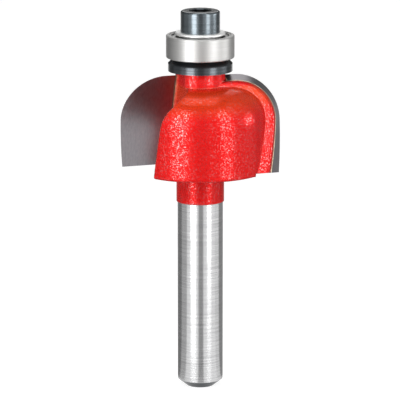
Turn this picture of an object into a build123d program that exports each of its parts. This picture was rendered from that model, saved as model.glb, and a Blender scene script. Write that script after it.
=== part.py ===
"""Two-flute cove router bit with a pilot bearing.

Millimetres. +Z runs up the axis from the shank's end to the pilot screw, with the origin at the
centre of the shank's end face. Seen from the screw the bit cuts anticlockwise. One blade points
roughly along +X and the other along -X.
"""
import os
from math import cos, pi, radians, sin, sqrt, tan

from build123d import *

os.makedirs("parts", exist_ok=True)

# Shank and neck
shank_diameter = 6.35
shank_length = 26.65
shank_chamfer_height = 1.0
shank_chamfer_width = 1.25
neck_diameter = 6.68
neck_length = 4.4

# Pilot bearing, 3/8 x 3/16 x 1/8 inch
bearing_diameter = 9.525
bearing_bore = 4.7625
bearing_width = 3.175
ball_diameter = 1.5875
ball_count = 8
ball_clearance = 0.026
inner_ring_wall = 0.52
outer_rim_wall = 0.46
ring_corner = 0.18
shield_seat_depth = 0.43
shield_seat_step = 0.2
shield_thickness = 0.17
shield_width = 0.85
shield_lip = 0.1
snap_groove_depth = 0.12
snap_groove_width = 0.17
snap_groove_offset = 0.05
snap_ring_section = 0.36
snap_ring_thickness = 0.14
snap_ring_opening = 28.0
snap_ring_heading = 150.0
fit_clearance = 0.02
cage_wall = 0.45
cage_depth_below_balls = 1.05
cage_finger_height = 0.3
pocket_clearance = 0.05

# Cutting profile: a quarter round that starts at the bearing, then a straight edge
cove_radius = 6.35
straight_edge_length = 7.1

# Blades
blade_heading = 19.0
face_setback = 2.96
shear_angle = 18.5
tip_thickness = 1.6
tip_inner_edge = 3.15
tip_inner_bevel = 0.22
tip_flank_relief = 0.5
bottom_relief_angle = 13.0
bottom_relief_start = 5.6
braze_behind = 0.12
braze_beside = 0.2

# Steel behind the tips and the two wings
land_depth = 0.2
land_drop = 0.4
backing_foot_heading = 50.0
wing_side_clearance = 1.8
wing_top_clearance = 1.35
wing_bottom_round = 0.35
core_diameter = 7.2
collar_above_tip = 0.64

# Gullets, one ahead of each blade
gullet_width_bottom = 9.6
gullet_width_top = 6.9
gullet_corner = 3.3

# Collar under the bearing, washer and cap screw over it
collar_setback = 0.26
collar_height = 1.85
collar_side_height = 1.05
collar_taper = 0.7
collar_boss_height = 0.1
washer_diameter = 7.0
washer_bore = 3.2
washer_thickness = 0.4
washer_edge = 0.12
post_below_bearing_top = 0.25
screw_diameter = 3.0
screw_length = 8.0
screw_tip_chamfer = 0.4
screw_head_diameter = 5.5
screw_head_height = 3.0
screw_head_round = 0.35
socket_across_flats = 2.5
socket_depth = 1.5
socket_mouth_diameter = 3.15
thread_clearance = 0.03
tapped_hole_depth = 9.4
drill_point_height = 0.9

# Levels and radii that follow from the sizes above
head_bottom = shank_length + neck_length
cove_level = head_bottom + straight_edge_length
tip_top = cove_level + cove_radius
shoulder = tip_top + collar_above_tip
bearing_bottom = shoulder + collar_height
bearing_top = bearing_bottom + bearing_width
screw_seat = bearing_top + washer_thickness
screw_top = screw_seat + screw_head_height
bearing_radius = bearing_diameter / 2
cutter_radius = bearing_radius + cove_radius
wing_radius = cutter_radius - wing_side_clearance
wing_arc_radius = cove_radius - wing_top_clearance
post_radius = bearing_bore / 2 - fit_clearance
post_top = bearing_top - post_below_bearing_top
pitch_radius = (bearing_bore + bearing_diameter) / 4
inner_land_radius = bearing_bore / 2 + inner_ring_wall
shield_seat_radius = bearing_radius - outer_rim_wall
outer_land_radius = shield_seat_radius - shield_seat_step
snap_groove_radius = shield_seat_radius + snap_groove_depth
collar_radius = bearing_radius - collar_setback
ball_level = bearing_bottom + bearing_width / 2
groove_radius = ball_diameter / 2 + ball_clearance
shear = radians(shear_angle)
seat_floor = tip_inner_edge - braze_beside
seat_depth = tip_thickness + braze_behind
cut_margin = 1.0
outer_reach = 3 * cutter_radius


def turned(points):
    """A solid turned about the Z axis from a closed outline of (radius, height) points."""
    outline = Plane.XZ * Polyline(*points, close=True)
    return revolve(make_face(outline), Axis.Z)


def tube(outer, inner, bottom, top):
    """A plain tube between two heights, from its radii."""
    return turned([(inner, bottom), (outer, bottom), (outer, top), (inner, top)])


def both_blades(solid):
    """The same solid at each of the two blades, from its place in the blade's own frame."""
    return [Rot(0, 0, blade_heading + turn) * solid for turn in (180, 0)]


def blade_plane(depth):
    """The sheared plane this far behind a blade's face, x outward along it and y up it."""
    behind = Vector(0, -cos(shear), sin(shear))
    origin = Vector(0, -face_setback, cove_level) + behind * depth
    return Plane(origin=origin, x_dir=(1, 0, 0), z_dir=behind)


def blade_point(plane, radius, height):
    """Where a circle of this radius about the axis meets the plane at this height."""
    up_face = (height - plane.origin.Z) / cos(shear)
    setback = plane.origin.Y + up_face * sin(shear)
    return (sqrt(radius**2 - setback**2), up_face)


def profile_points(side_radius, arc_radius):
    """Points (radius, height) up a straight side and on round a quarter arc that meets it."""
    side_steps = 4
    arc_steps = 8
    side = []
    for step in range(side_steps + 1):
        side.append((side_radius, head_bottom + straight_edge_length * step / side_steps))
    arc = []
    for step in range(arc_steps + 1):
        angle = pi / 2 * step / arc_steps
        radius = side_radius - arc_radius * (1 - cos(angle))
        arc.append((radius, cove_level + arc_radius * sin(angle)))
    return side, arc


def outline_face(plane, side, arc, inner):
    """The face inside a side, an arc and the inner edge, on a plane."""
    lower = (inner, side[0][1])
    upper = (inner, arc[-1][1])
    edges = [Line(lower, side[0]), Spline(*side), Spline(*arc), Line(arc[-1], upper), Line(upper, lower)]
    return plane * make_face(edges)


def blade_outline(depth, inset, inner):
    """Outline across a blade at a depth behind its face, inset from the cutting profile."""
    plane = blade_plane(depth)
    side, arc = profile_points(cutter_radius - inset, cove_radius - inset)
    side = [blade_point(plane, radius, height) for radius, height in side]
    arc = [blade_point(plane, radius, height) for radius, height in arc]
    return outline_face(plane, side, arc, inner)


def strip_outline(depth, inset):
    """Outline of the thin braze strip beside a tip's inner edge, at a depth behind its face."""
    plane = blade_plane(depth)
    bottom = blade_point(plane, cutter_radius, head_bottom)[1]
    top = blade_point(plane, cutter_radius, tip_top - inset)[1]
    centre = ((seat_floor + tip_inner_edge) / 2, (bottom + top) / 2)
    return plane * Pos(*centre) * Rectangle(braze_beside, top - bottom)


def bottom_grind():
    """What the wheel takes off under a blade, rising from the bottom of its cutting edge."""
    face_at_bottom = face_setback + straight_edge_length * tan(shear)
    length = outer_reach - bottom_relief_start
    block = Box(length, cutter_radius, cove_radius, align=(Align.MIN, Align.MAX, Align.MAX))
    tilt = Rot(-bottom_relief_angle, 0, 0)
    return Pos(bottom_relief_start, -face_at_bottom, head_bottom) * tilt * block


def carbide_tip():
    """One brazed tip: the face has the exact profile and the flank falls away behind it."""
    face = blade_outline(0, 0, tip_inner_edge)
    back = blade_outline(tip_thickness, tip_flank_relief, tip_inner_edge)
    tip = loft([face, back], ruled=True) - bottom_grind()
    edge_line = blade_plane(0) * Pos(tip_inner_edge, 0)
    bevel_size = tip_inner_bevel * sqrt(2)
    bevel = edge_line * Rot(0, 45, 0) * Box(bevel_size, outer_reach, bevel_size)
    return tip - bevel


def braze_seam():
    """The braze behind one tip and along its inner edge."""
    relief_per_depth = tip_flank_relief / tip_thickness
    front = blade_outline(tip_thickness, tip_flank_relief, seat_floor)
    back = blade_outline(seat_depth, relief_per_depth * seat_depth, seat_floor)
    layer = loft([front, back], ruled=True)
    strip = loft([strip_outline(0, 0), strip_outline(tip_thickness, tip_flank_relief)], ruled=True)
    return layer + strip - bottom_grind()


def backing():
    """Steel behind one tip: a narrow land along the tip, then a wall that runs out on the wing."""
    inset = tip_flank_relief / tip_thickness * seat_depth
    front = blade_outline(seat_depth, inset, 0)
    crest = blade_outline(seat_depth + land_depth, inset + land_drop, 0)
    heading = radians(-backing_foot_heading)
    foot_plane = Plane(origin=(0, 0, 0), x_dir=(cos(heading), sin(heading), 0),
                       z_dir=(sin(heading), -cos(heading), 0))
    foot = outline_face(foot_plane, *profile_points(wing_radius, wing_arc_radius), 0)
    return loft([front, crest], ruled=True) + loft([crest, foot], ruled=True)


def tip_seat():
    """The room for one tip and its braze, open to the gullet and to the outside."""
    depth = seat_depth + cut_margin
    width = outer_reach - seat_floor
    block = Box(width, outer_reach, depth, align=(Align.MIN, Align.CENTER, Align.MAX))
    return blade_plane(seat_depth) * Pos(seat_floor, 0, 0) * block


def gullet_outline(height, width):
    """Section of a gullet: square against the blade's face, round at the heel ahead of it."""
    face = -face_setback + (height - cove_level) * tan(shear)
    heel = face + width
    corner = gullet_corner
    bend_start = (seat_floor + corner, heel)
    bend_end = (seat_floor, heel - corner)
    bend_middle = (seat_floor + corner * (1 - sin(pi / 4)), heel - corner * (1 - sin(pi / 4)))
    edges = [
        Line((seat_floor, face), (outer_reach, face)),
        Line((outer_reach, face), (outer_reach, heel)),
        Line((outer_reach, heel), bend_start),
        ThreePointArc(bend_start, bend_middle, bend_end),
        Line(bend_end, (seat_floor, face)),
    ]
    return Pos(0, 0, height) * make_face(edges)


def gullet():
    """The chip gullet ahead of one blade, from the head's bottom out through the shoulder."""
    bottom = gullet_outline(head_bottom, gullet_width_bottom)
    top = gullet_outline(shoulder, gullet_width_top)
    return loft([bottom, top], ruled=True)


def wing():
    """The turned form of the head, which the gullets part into two wings."""
    arc_radius = wing_arc_radius
    arc_centre = wing_radius - arc_radius
    middle = sin(pi / 4)
    bend = wing_bottom_round
    side_foot = (wing_radius, head_bottom + bend)
    bottom_end = (wing_radius - bend, head_bottom)
    bend_middle = (wing_radius - bend * (1 - middle), head_bottom + bend * (1 - middle))
    side_top = (wing_radius, cove_level)
    arc_middle = (arc_centre + arc_radius * middle, cove_level + arc_radius * middle)
    arc_top = (arc_centre, cove_level + arc_radius)
    edges = [
        Line((0, head_bottom), bottom_end),
        ThreePointArc(bottom_end, bend_middle, side_foot),
        Line(side_foot, side_top),
        ThreePointArc(side_top, arc_middle, arc_top),
        Line(arc_top, (0, cove_level + arc_radius)),
        Line((0, cove_level + arc_radius), (0, head_bottom)),
    ]
    return revolve(Plane.XZ * make_face(edges), Axis.Z)


def cutter_body():
    """Shank, head and pilot post in one piece of steel, with the seats and the tapped hole."""
    shank_radius = shank_diameter / 2
    body = turned([
        (0, 0),
        (shank_radius - shank_chamfer_width, 0),
        (shank_radius, shank_chamfer_height),
        (shank_radius, shank_length),
        (neck_diameter / 2, shank_length),
        (neck_diameter / 2, head_bottom),
        (core_diameter / 2, head_bottom),
        (core_diameter / 2, shoulder),
        (post_radius, shoulder),
        (post_radius, post_top),
        (0, post_top),
    ])
    body += wing()
    for piece in both_blades(backing()):
        body += piece
    for cut in both_blades(gullet()) + both_blades(tip_seat()) + both_blades(bottom_grind()):
        body -= cut
    hole_radius = screw_diameter / 2
    hole_bottom = post_top - tapped_hole_depth
    hole = turned([
        (0, hole_bottom - drill_point_height),
        (hole_radius, hole_bottom),
        (hole_radius, post_top + cut_margin),
        (0, post_top + cut_margin),
    ])
    return body - hole


def dust_collar():
    """Collar that spaces the bearing off the shoulder; only its boss meets the inner ring."""
    bore = post_radius + fit_clearance
    side_top = shoulder + collar_side_height
    boss_foot = bearing_bottom - collar_boss_height
    return turned([
        (bore, shoulder),
        (collar_radius, shoulder),
        (collar_radius, side_top),
        (collar_radius - collar_taper, boss_foot),
        (inner_land_radius, boss_foot),
        (inner_land_radius, bearing_bottom),
        (bore, bearing_bottom),
    ])


def ball_groove():
    """The ring of space that the balls run in."""
    section = Plane.XZ * Pos(pitch_radius, ball_level) * Circle(groove_radius)
    return revolve(section, Axis.Z)


def bearing_inner_ring():
    inner = bearing_bore / 2
    land = inner_land_radius
    chamfer_size = ring_corner / 2
    ring = turned([
        (inner, bearing_bottom + chamfer_size),
        (inner + chamfer_size, bearing_bottom),
        (land, bearing_bottom),
        (land, bearing_top),
        (inner + chamfer_size, bearing_top),
        (inner, bearing_top - chamfer_size),
    ])
    return ring - ball_groove()


def bearing_outer_ring():
    """Outer race, with a seat and a snap ring groove for a shield at each end."""
    hollow = outer_land_radius - cut_margin
    ring = tube(bearing_radius, outer_land_radius, bearing_bottom, bearing_top)
    ring = fillet(ring.edges().filter_by(GeomType.CIRCLE).group_by(SortBy.RADIUS)[-1], ring_corner)
    ring -= ball_groove()
    for end, inward in ((bearing_bottom, 1), (bearing_top, -1)):
        seat_end = end + inward * shield_seat_depth
        ring -= tube(shield_seat_radius, hollow, min(end, seat_end), max(end, seat_end))
        groove_start = end + inward * snap_groove_offset
        groove_end = groove_start + inward * snap_groove_width
        low = min(groove_start, groove_end)
        high = max(groove_start, groove_end)
        ring -= tube(snap_groove_radius, hollow, low, high)
    return ring


def bearing_shield(end, inward):
    """Thin disc on the seat of the outer ring, with a lip turned in at its hole."""
    seat = end + inward * shield_seat_depth
    outside = seat - inward * shield_thickness
    outer = shield_seat_radius - fit_clearance
    hole = outer - shield_width
    lip_outer = hole + shield_thickness
    return turned([
        (hole, outside),
        (outer, outside),
        (outer, seat),
        (lip_outer, seat),
        (lip_outer, seat + inward * shield_lip),
        (hole, seat + inward * shield_lip),
    ])


def snap_ring(end, inward):
    """Open wire ring in the outer ring's groove, which keeps the shield on its seat."""
    outer = snap_groove_radius - fit_clearance
    inner = outer - snap_ring_section
    start = end + inward * (snap_groove_offset + snap_groove_width)
    finish = start - inward * snap_ring_thickness
    ring = tube(outer, inner, min(start, finish), max(start, finish))
    opening_width = 2 * outer * sin(radians(snap_ring_opening / 2))
    opening = Box(2 * outer, opening_width, bearing_width, align=(Align.MIN, Align.CENTER, Align.CENTER))
    heading = snap_ring_heading * inward
    return ring - Pos(0, 0, start) * Rot(0, 0, heading) * opening


def ball(index):
    turn = Rot(0, 0, 360 / ball_count * index)
    return turn * Pos(pitch_radius, 0, ball_level) * Sphere(ball_diameter / 2)


def bearing_cage():
    """Crown cage: a ring below the balls, with fingers that rise between them."""
    bottom = ball_level - cage_depth_below_balls
    top = ball_level + cage_finger_height
    cage = tube(pitch_radius + cage_wall / 2, pitch_radius - cage_wall / 2, bottom, top)
    pocket = Sphere(ball_diameter / 2 + pocket_clearance)
    for index in range(ball_count):
        cage -= Rot(0, 0, 360 / ball_count * index) * Pos(pitch_radius, 0, ball_level) * pocket
    return cage


def screw_washer():
    washer = tube(washer_diameter / 2, washer_bore / 2, bearing_top, screw_seat)
    rims = washer.edges().filter_by(GeomType.CIRCLE).group_by(SortBy.RADIUS)[-1]
    return chamfer(rims, washer_edge)


def cap_screw():
    """Socket head cap screw, its thread left plain."""
    thread_radius = screw_diameter / 2 - thread_clearance
    tip = screw_seat - screw_length
    head_radius = screw_head_diameter / 2
    screw = turned([
        (0, tip),
        (thread_radius - screw_tip_chamfer, tip),
        (thread_radius, tip + screw_tip_chamfer),
        (thread_radius, screw_seat),
        (head_radius, screw_seat),
        (head_radius, screw_top),
        (0, screw_top),
    ])
    rim = screw.edges().filter_by(GeomType.CIRCLE).group_by(Axis.Z)[-1]
    screw = fillet(rim, screw_head_round)
    hexagon = RegularPolygon(socket_across_flats / 2, 6, major_radius=False)
    screw -= extrude(Pos(0, 0, screw_top - socket_depth) * hexagon, socket_depth)
    mouth_radius = socket_mouth_diameter / 2
    mouth_depth = mouth_radius - socket_across_flats / 2
    mouth = turned([
        (0, screw_top - mouth_depth),
        (mouth_radius - mouth_depth, screw_top - mouth_depth),
        (mouth_radius, screw_top),
        (0, screw_top),
    ])
    return screw - mouth


def write(name, solid):
    export_step(solid, f"parts/{name}.step")


write("cutter_body", cutter_body())
for letter, tip in zip("ab", both_blades(carbide_tip())):
    write(f"carbide_tip_{letter}", tip)
for letter, seam in zip("ab", both_blades(braze_seam())):
    write(f"braze_seam_{letter}", seam)
write("dust_collar", dust_collar())
write("bearing_inner_ring", bearing_inner_ring())
write("bearing_outer_ring", bearing_outer_ring())
for index in range(ball_count):
    write(f"bearing_ball_{index + 1}", ball(index))
write("bearing_cage", bearing_cage())
for place, end, inward in (("lower", bearing_bottom, 1), ("upper", bearing_top, -1)):
    write(f"bearing_shield_{place}", bearing_shield(end, inward))
    write(f"shield_snap_ring_{place}", snap_ring(end, inward))
write("screw_washer", screw_washer())
write("cap_screw", cap_screw())
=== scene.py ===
"""Cove router bit: materials, floor, reflection cards, soft studio light and camera."""
from math import cos, pi, radians, sin

import bmesh
import bpy
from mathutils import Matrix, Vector


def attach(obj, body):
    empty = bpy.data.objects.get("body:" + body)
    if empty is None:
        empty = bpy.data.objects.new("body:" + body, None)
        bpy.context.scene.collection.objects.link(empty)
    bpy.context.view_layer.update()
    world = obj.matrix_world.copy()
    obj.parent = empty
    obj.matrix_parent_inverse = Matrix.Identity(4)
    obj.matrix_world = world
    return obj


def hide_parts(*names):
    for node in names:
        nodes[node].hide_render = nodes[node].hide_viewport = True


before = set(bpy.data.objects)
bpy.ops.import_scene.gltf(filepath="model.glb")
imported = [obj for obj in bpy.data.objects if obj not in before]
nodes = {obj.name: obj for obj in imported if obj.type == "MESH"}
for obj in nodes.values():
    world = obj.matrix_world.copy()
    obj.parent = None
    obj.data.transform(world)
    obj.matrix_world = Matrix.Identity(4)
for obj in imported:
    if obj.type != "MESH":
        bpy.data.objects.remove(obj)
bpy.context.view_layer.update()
mm = 0.001

# Heights on the body: the coating's lower end, the shank's end painted dark as shade, and the warm tint
# painted on the crown as a reflection of light from above
paint_edge = 26.65 * mm
paint_edge_slack = 0.01 * mm
shank_shade_height = 1.02 * mm
shank_shade_blend = 0.1 * mm
crown_low = 39.6 * mm
crown_full = 41.6 * mm
crown_high = 43.0 * mm
crown_end = 43.4 * mm

# The screw's socket, painted dark inside as shade
socket_radius = 1.4 * mm
socket_blend_radius = 1.55 * mm

# Worn edges with a painted highlight, and rounded shading of the coating
worn_highlight_edge_radius = 0.16 * mm
soft_edge_radius = 0.3 * mm

# Reflection cards: they lie on the floor from the foot out, and then stand
card_foot = 0.006
card_radius = 0.17
card_height = 0.32
card_lift = 0.05 * mm
card_steps = 12

# Lamps beside the object, above it, and high in front and behind
side_lamp_distance = 0.15
strip_height = 0.2
high_lamp_distance = 0.8
high_lamp_elevation = 38
overhead_place = (0, 0.1, 0.8)
floor_radius = 1.6

# The photograph's view: tilt in degrees, distance in metres, target, lens and sensor in millimetres
camera_elevation = 12.32
camera_distance = 0.45093
camera_target = (-0.036, 0, 26.69)
camera_lens = 289.56
camera_sensor = 36


def node_tree(name):
    """A new material, its node tree and its Principled shader."""
    material = bpy.data.materials.new(name)
    material.use_nodes = True
    tree = material.node_tree
    return material, tree, tree.nodes["Principled BSDF"]


def add(tree, kind, **values):
    """A new shader node with properties and input values set by name."""
    node = tree.nodes.new(kind)
    for key, value in values.items():
        if hasattr(node, key):
            setattr(node, key, value)
        else:
            node.inputs[key.replace("_", " ").title()].default_value = value
    return node


def coordinates(tree, stretch):
    """Object coordinates, scaled along each axis."""
    place = add(tree, "ShaderNodeTexCoord")
    mapping = add(tree, "ShaderNodeMapping")
    mapping.inputs["Scale"].default_value = stretch
    tree.links.new(place.outputs["Object"], mapping.inputs["Vector"])
    return mapping.outputs["Vector"]


def noise(tree, vector, scale, detail=2.0, roughness=0.5):
    texture = add(tree, "ShaderNodeTexNoise")
    texture.inputs["Scale"].default_value = scale
    texture.inputs["Detail"].default_value = detail
    texture.inputs["Roughness"].default_value = roughness
    tree.links.new(vector, texture.inputs["Vector"])
    return texture.outputs["Fac"]


def between(tree, value, low, high, start=0.0, end=1.0):
    """The value mapped from low..high onto start..end."""
    ramp = add(tree, "ShaderNodeMapRange")
    ramp.inputs["From Min"].default_value = low
    ramp.inputs["From Max"].default_value = high
    ramp.inputs["To Min"].default_value = start
    ramp.inputs["To Max"].default_value = end
    tree.links.new(value, ramp.inputs["Value"])
    return ramp.outputs["Result"]


def along(tree, vector, axis):
    """One coordinate of a vector."""
    parts = add(tree, "ShaderNodeSeparateXYZ")
    tree.links.new(vector, parts.inputs["Vector"])
    return parts.outputs[axis]


def mixed(tree, factor, first, second):
    """A colour between two, by a factor."""
    mix = add(tree, "ShaderNodeMix", data_type="RGBA")
    mix.inputs["A"].default_value = (*first, 1)
    mix.inputs["B"].default_value = (*second, 1)
    tree.links.new(factor, mix.inputs["Factor"])
    return mix.outputs["Result"]


def mixed_colour(tree, factor, first, second):
    """A colour between one from the tree and a plain one, by a factor."""
    mix = add(tree, "ShaderNodeMix", data_type="RGBA")
    mix.inputs["B"].default_value = (*second, 1)
    tree.links.new(first, mix.inputs["A"])
    tree.links.new(factor, mix.inputs["Factor"])
    return mix.outputs["Result"]


def bump(tree, shader, height, strength, distance, under=None):
    node = add(tree, "ShaderNodeBump")
    if under:
        tree.links.new(under, node.inputs["Normal"])
    node.inputs["Strength"].default_value = strength
    node.inputs["Distance"].default_value = distance
    tree.links.new(height, node.inputs["Height"])
    tree.links.new(node.outputs["Normal"], shader.inputs["Normal"])


def brushed(tree, shader, amount):
    """Stretches the highlights along the axis, across turning or grinding lines that run round it."""
    tangent = add(tree, "ShaderNodeTangent", direction_type="RADIAL", axis="Z")
    tree.links.new(tangent.outputs["Tangent"], shader.inputs["Tangent"])
    face = add(tree, "ShaderNodeNewGeometry")
    upward = along(tree, face.outputs["Normal"], "Z")
    tree.links.new(between(tree, upward, 0.3, 0.7, amount, 0), shader.inputs["Anisotropic"])
    shader.inputs["Anisotropic Rotation"].default_value = 0.25


def turned_metal(name, dark, light, rough_low, rough_high, amount, lines, depth, shade_painted_below=None):
    """Metal with fine lines round the axis, from turning or grinding, and painted dark below a height as
    shade.
    """
    material, tree, shader = node_tree(name)
    shader.inputs["Metallic"].default_value = 1.0
    rings = noise(tree, coordinates(tree, (1, 1, 60)), lines, 3.0)
    blotches = noise(tree, coordinates(tree, (1, 1, 1)), 350, 3.0)
    metal = mixed(tree, between(tree, rings, 0.3, 0.7), dark, light)
    # Painted shade: below the given height the metal turns nearly black, for the shank's end
    if shade_painted_below:
        height = along(tree, coordinates(tree, (1, 1, 1)), "Z")
        end = between(tree, height, shade_painted_below, shade_painted_below - shank_shade_blend)
        metal = mixed_colour(tree, end, metal, (0.05, 0.055, 0.06))
    tree.links.new(metal, shader.inputs["Base Color"])
    tree.links.new(between(tree, blotches, 0.3, 0.7, rough_low, rough_high), shader.inputs["Roughness"])
    brushed(tree, shader, amount)
    bump(tree, shader, rings, 0.15, depth)
    return material


def product(tree, first, second):
    node = add(tree, "ShaderNodeMath", operation="MULTIPLY")
    tree.links.new(first, node.inputs[0])
    tree.links.new(second, node.inputs[1])
    return node.outputs["Value"]


def edges(tree, radius, low, high):
    """How near a point is to a sharp edge, from how far a rounded normal leans from the face's own."""
    rounded = add(tree, "ShaderNodeBevel", samples=8)
    rounded.inputs["Radius"].default_value = radius
    face = add(tree, "ShaderNodeNewGeometry")
    lean = add(tree, "ShaderNodeVectorMath", operation="DOT_PRODUCT")
    tree.links.new(rounded.outputs["Normal"], lean.inputs[0])
    tree.links.new(face.outputs["Normal"], lean.inputs[1])
    return between(tree, lean.outputs["Value"], high, low)


def enamel():
    """Glossy red coating over turning lines and fine grain, lighter along sharp edges as worn thin paint and
    a painted highlight, and warmer on the crown as a painted reflection of light from above.
    """
    material, tree, shader = node_tree("red_enamel")
    plain = coordinates(tree, (1, 1, 1))
    rings = noise(tree, coordinates(tree, (1, 1, 12)), 420, 2.0)
    grain = noise(tree, plain, 5200, 2.0, 0.7)
    height = along(tree, plain, "Z")
    red = mixed(tree, between(tree, rings, 0.3, 0.7), (0.70, 0.009, 0.009), (0.75, 0.014, 0.013))
    # Painted reflection: between these heights the crown is tinted warmer, for light falling from above
    rise = between(tree, height, crown_low, crown_full)
    crown_reflection_mask = product(tree, rise, between(tree, height, crown_end, crown_high))
    warm_painted_reflection = mixed_colour(tree, crown_reflection_mask, red, (0.68, 0.040, 0.009))
    # Lighter along sharp edges: worn thin paint, and a painted highlight
    lightened_with_painted_light = mixed_colour(tree, edges(tree, worn_highlight_edge_radius, 0.86, 0.99), warm_painted_reflection, (0.86, 0.19, 0.16))
    tree.links.new(lightened_with_painted_light, shader.inputs["Base Color"])
    tree.links.new(between(tree, grain, 0.45, 0.6, 0.3, 0.16), shader.inputs["Roughness"])
    tree.links.new(between(tree, grain, 0.56, 0.62, 0.02, 1.0), shader.inputs["Specular IOR Level"])
    shader.inputs["IOR"].default_value = 1.75
    shader.inputs["Metallic"].default_value = 0.2
    brushed(tree, shader, 0.5)
    total = add(tree, "ShaderNodeMath", operation="ADD")
    tree.links.new(rings, total.inputs[0])
    tree.links.new(grain, total.inputs[1])
    rounded = add(tree, "ShaderNodeBevel", samples=8)
    rounded.inputs["Radius"].default_value = soft_edge_radius
    bump(tree, shader, total.outputs["Value"], 0.5, 0.017 * mm, rounded.outputs["Normal"])
    return material


def carbide():
    """Ground tungsten carbide with fine grinding lines up the face."""
    material, tree, shader = node_tree("carbide")
    shader.inputs["Metallic"].default_value = 1.0
    lines = noise(tree, coordinates(tree, (40, 40, 1)), 120, 3.0)
    tree.links.new(mixed(tree, between(tree, lines, 0.3, 0.7), (0.25, 0.235, 0.25), (0.31, 0.295, 0.31)),
                   shader.inputs["Base Color"])
    tree.links.new(between(tree, lines, 0.3, 0.7, 0.28, 0.34), shader.inputs["Roughness"])
    bump(tree, shader, lines, 0.08, 0.004 * mm)
    return material


def braze():
    material, tree, shader = node_tree("braze")
    shader.inputs["Metallic"].default_value = 1.0
    grain = noise(tree, coordinates(tree, (1, 1, 1)), 1500, 3.0)
    tree.links.new(mixed(tree, between(tree, grain, 0.3, 0.7), (0.80, 0.56, 0.36), (0.95, 0.80, 0.60)),
                   shader.inputs["Base Color"])
    tree.links.new(between(tree, grain, 0.3, 0.7, 0.35, 0.55), shader.inputs["Roughness"])
    bump(tree, shader, grain, 0.4, 0.03 * mm)
    return material


def black_oxide(name, dark, light):
    """Black oxide over turned steel, with a cool sheen, lighter on upward faces as a painted reflection and
    painted dark in the socket as shade.
    """
    material, tree, shader = node_tree(name)
    shader.inputs["Metallic"].default_value = 1.0
    rings = noise(tree, coordinates(tree, (1, 1, 40)), 150, 3.0)
    grain = noise(tree, coordinates(tree, (1, 1, 1)), 900, 3.0)
    metal = mixed(tree, between(tree, rings, 0.3, 0.7), dark, light)
    # Painted shade: close to the axis the colour goes nearly black, for the screw's socket
    place = add(tree, "ShaderNodeVectorMath", operation="LENGTH")
    tree.links.new(coordinates(tree, (1, 1, 0)), place.inputs[0])
    socket_shade = between(tree, place.outputs["Value"], socket_blend_radius, socket_radius)
    face = add(tree, "ShaderNodeNewGeometry")
    # Painted reflection: faces that look up are made lighter
    flat_top_reflection_mask = between(tree, along(tree, face.outputs["Normal"], "Z"), 0.85, 0.95)
    lightened_with_painted_light = mixed_colour(tree, flat_top_reflection_mask, metal, (0.34, 0.345, 0.35))
    tree.links.new(mixed_colour(tree, socket_shade, lightened_with_painted_light, (0.006, 0.006, 0.007)), shader.inputs["Base Color"])
    tree.links.new(between(tree, grain, 0.3, 0.7, 0.22, 0.28), shader.inputs["Roughness"])
    brushed(tree, shader, 0.5)
    bump(tree, shader, rings, 0.3, 0.01 * mm)
    return material


def floor_material():
    """Pale floor that reads white to the camera and in metal, and keeps a soft shadow."""
    material, tree, shader = node_tree("floor")
    shader.inputs["Base Color"].default_value = (0.3, 0.3, 0.3, 1)
    shader.inputs["Roughness"].default_value = 1.0
    shader.inputs["Specular IOR Level"].default_value = 0.0
    glow = add(tree, "ShaderNodeEmission")
    total = add(tree, "ShaderNodeAddShader")
    tree.links.new(seen_directly(tree, 0.88), glow.inputs["Strength"])
    tree.links.new(shader.outputs["BSDF"], total.inputs[0])
    tree.links.new(glow.outputs["Emission"], total.inputs[1])
    tree.links.new(total.outputs["Shader"], tree.nodes["Material Output"].inputs["Surface"])
    return material


def seen_directly(tree, strength, otherwise=0.0):
    """One strength for camera, glossy and transmission rays, and another for the light itself."""
    path = add(tree, "ShaderNodeLightPath")
    first = add(tree, "ShaderNodeMath", operation="MAXIMUM")
    second = add(tree, "ShaderNodeMath", operation="MAXIMUM")
    tree.links.new(path.outputs["Is Camera Ray"], first.inputs[0])
    tree.links.new(path.outputs["Is Glossy Ray"], first.inputs[1])
    tree.links.new(first.outputs["Value"], second.inputs[0])
    tree.links.new(path.outputs["Is Transmission Ray"], second.inputs[1])
    return between(tree, second.outputs["Value"], 0, 1, otherwise, strength)


def studio():
    """White surroundings, cards for the reflections and tall soft lights beside the object."""
    world = bpy.data.worlds.new("studio")
    bpy.context.scene.world = world
    world.use_nodes = True
    background = world.node_tree.nodes["Background"]
    world.node_tree.links.new(seen_directly(world.node_tree, 1.0, 0.48), background.inputs["Strength"])

    mesh = bpy.data.meshes.new("floor")
    shape = bmesh.new()
    bmesh.ops.create_circle(shape, cap_ends=True, segments=96, radius=floor_radius)
    shape.to_mesh(mesh)
    shape.free()
    floor = bpy.data.objects.new("floor", mesh)
    bpy.context.collection.objects.link(floor)
    mesh.materials.append(floor_material())

    cards = [
        card("card_left", -71, -9, 1.1),
        card("card_gap", -9, 15, 0.4),
        card("card_right", 15, 80, 1.1),
        card("card_far_right", 80, 108, 0.85),
        card("card_back_right", 108, 150, 0.33),
        card("card_back_left", 210, 252, 0.24),
        card("card_far_left", 252, 289, 0.55),
        card("card_back", 150, 210, 0.3, 0),
    ]

    strip_light("left", -35, 0.070, 6.0)
    strip_light("right", 46, 0.055, 4.0)
    small_light("side", 92, 0.05, 0.06, 6.0)
    overhead_light(0.5, 2.0)
    high_light("front", -1, 0.5, 0.6)
    high_light("back", 1, 0.5, 1.2)


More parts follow.
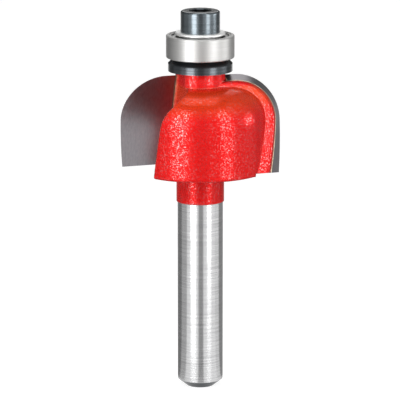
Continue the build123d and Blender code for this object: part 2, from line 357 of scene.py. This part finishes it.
def card(name, start, end, radiance, height=card_height):
    """A grey or white card that lies on the floor and stands up further out, seen only in reflections."""
    mesh = bpy.data.meshes.new(name)
    shape = bmesh.new()
    rows = []
    for step in range(card_steps + 1):
        angle = radians(start + (end - start) * step / card_steps)
        out = Vector((sin(angle), -cos(angle), 0))
        lift = Vector((0, 0, card_lift))
        places = [card_foot * out + lift, card_radius * out + lift]
        if height:
            places.append(card_radius * out + Vector((0, 0, height)))
        rows.append([shape.verts.new(place) for place in places])
    for first, second in zip(rows, rows[1:]):
        for level in range(len(first) - 1):
            shape.faces.new((first[level], second[level], second[level + 1], first[level + 1]))
    shape.to_mesh(mesh)
    shape.free()
    material, tree, shader = node_tree(name)
    shader.inputs["Base Color"].default_value = (0, 0, 0, 1)
    shader.inputs["Specular IOR Level"].default_value = 0.0
    shader.inputs["Emission Color"].default_value = (1, 1, 1, 1)
    shader.inputs["Emission Strength"].default_value = radiance
    mesh.materials.append(material)
    piece = bpy.data.objects.new(name, mesh)
    bpy.context.collection.objects.link(piece)
    piece.visible_camera = False
    piece.visible_diffuse = False
    piece.visible_shadow = False
    return piece


def strip_light(name, azimuth, width, radiance):
    """A tall soft light that stands on the floor beside the object; azimuth 0 is the front."""
    angle = radians(azimuth)
    direction = Vector((sin(angle), -cos(angle), 0))
    light = area_light(f"strip_{name}", width, strip_height, radiance)
    light.location = side_lamp_distance * direction + Vector((0, 0, strip_height / 2))
    light.rotation_euler = (-direction).to_track_quat("-Z", "Y").to_euler()


def small_light(name, azimuth, size, height, radiance):
    """A small square light beside the object."""
    angle = radians(azimuth)
    direction = Vector((sin(angle), -cos(angle), 0))
    light = area_light(name, size, size, radiance)
    light.location = side_lamp_distance * direction + Vector((0, 0, height))
    light.rotation_euler = (-direction).to_track_quat("-Z", "Y").to_euler()


def overhead_light(size, radiance):
    """A soft light over the object."""
    light = area_light("overhead", size, size, radiance)
    light.location = overhead_place


def high_light(name, side, size, radiance):
    """A soft light high up in front of the object or behind it."""
    elevation = radians(high_lamp_elevation)
    direction = Vector((0, side * cos(elevation), sin(elevation)))
    light = area_light(name, size, size, radiance)
    light.location = high_lamp_distance * direction
    light.rotation_euler = (-direction).to_track_quat("-Z", "Y").to_euler()


def area_light(name, width, height, radiance):
    data = bpy.data.lights.new(name, "AREA")
    data.shape = "RECTANGLE"
    data.size = width
    data.size_y = height
    data.energy = radiance * pi * width * height
    light = bpy.data.objects.new(name, data)
    bpy.context.collection.objects.link(light)
    return light


def camera():
    """The photograph's viewing angle."""
    elevation = radians(camera_elevation)
    data = bpy.data.cameras.new("camera")
    data.sensor_width = camera_sensor
    data.lens = camera_lens
    data.clip_start = 0.01
    eye = bpy.data.objects.new("camera", data)
    bpy.context.collection.objects.link(eye)
    toward_eye = Vector((0, -cos(elevation), sin(elevation)))
    eye.location = Vector(camera_target) * mm + camera_distance * toward_eye
    eye.rotation_euler = (pi / 2 - elevation, 0, 0)
    bpy.context.scene.camera = eye


def part_of_body(name, keep, material):
    """The faces of the body's mesh that keep() accepts, as a piece of their own."""
    shape = bmesh.new()
    shape.from_mesh(nodes["cutter_body"].data)
    away = [face for face in shape.faces if not keep(face.calc_center_median())]
    bmesh.ops.delete(shape, geom=away, context="FACES")
    mesh = bpy.data.meshes.new(name)
    shape.to_mesh(mesh)
    shape.free()
    mesh.materials.append(material)
    piece = bpy.data.objects.new(name, mesh)
    bpy.context.collection.objects.link(piece)
    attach(piece, "cutter")
    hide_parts("cutter_body")
    return piece


camera()
studio()
bright = turned_metal("ground_steel", (0.50, 0.50, 0.505), (0.64, 0.64, 0.645),
                      0.2, 0.28, 0.8, 150, 0.003 * mm, shank_shade_height)
race = turned_metal("race_steel", (0.44, 0.438, 0.43), (0.50, 0.498, 0.49), 0.50, 0.56, 0.6, 200, 0.002 * mm)
plate = turned_metal("shield_steel", (0.62, 0.62, 0.62), (0.74, 0.74, 0.73), 0.24, 0.34, 0.5, 200, 0.004 * mm)
zinc = turned_metal("washer_zinc", (0.80, 0.80, 0.79), (0.90, 0.90, 0.89), 0.42, 0.55, 0.0, 200, 0.002 * mm)
screw_black = black_oxide("screw_black", (0.10, 0.118, 0.13), (0.145, 0.165, 0.18))
collar_black = black_oxide("collar_black", (0.05, 0.056, 0.062), (0.10, 0.11, 0.12))
carbide_material = carbide()
braze_material = braze()
split_height = paint_edge - paint_edge_slack
part_of_body("painted_head", lambda centre: centre.z > split_height, enamel())
part_of_body("bright_shank", lambda centre: centre.z <= split_height, bright)
finishes = {
    "carbide_tip_a": carbide_material,
    "carbide_tip_b": carbide_material,
    "braze_seam_a": braze_material,
    "braze_seam_b": braze_material,
    "dust_collar": collar_black,
    "cap_screw": screw_black,
    "bearing_outer_ring": race,
    "bearing_inner_ring": race,
    "bearing_shield_upper": plate,
    "bearing_shield_lower": plate,
    "shield_snap_ring_upper": race,
    "shield_snap_ring_lower": race,
    "screw_washer": zinc,
    "bearing_cage": plate,
}
for name, node in nodes.items():
    if name == "cutter_body":
        continue
    finish = finishes.get(name, race)
    if not node.material_slots:
        node.data.materials.append(finish)
    for material_slot in node.material_slots:
        material_slot.material = finish

bpy.context.scene.view_settings.view_transform = "Standard"
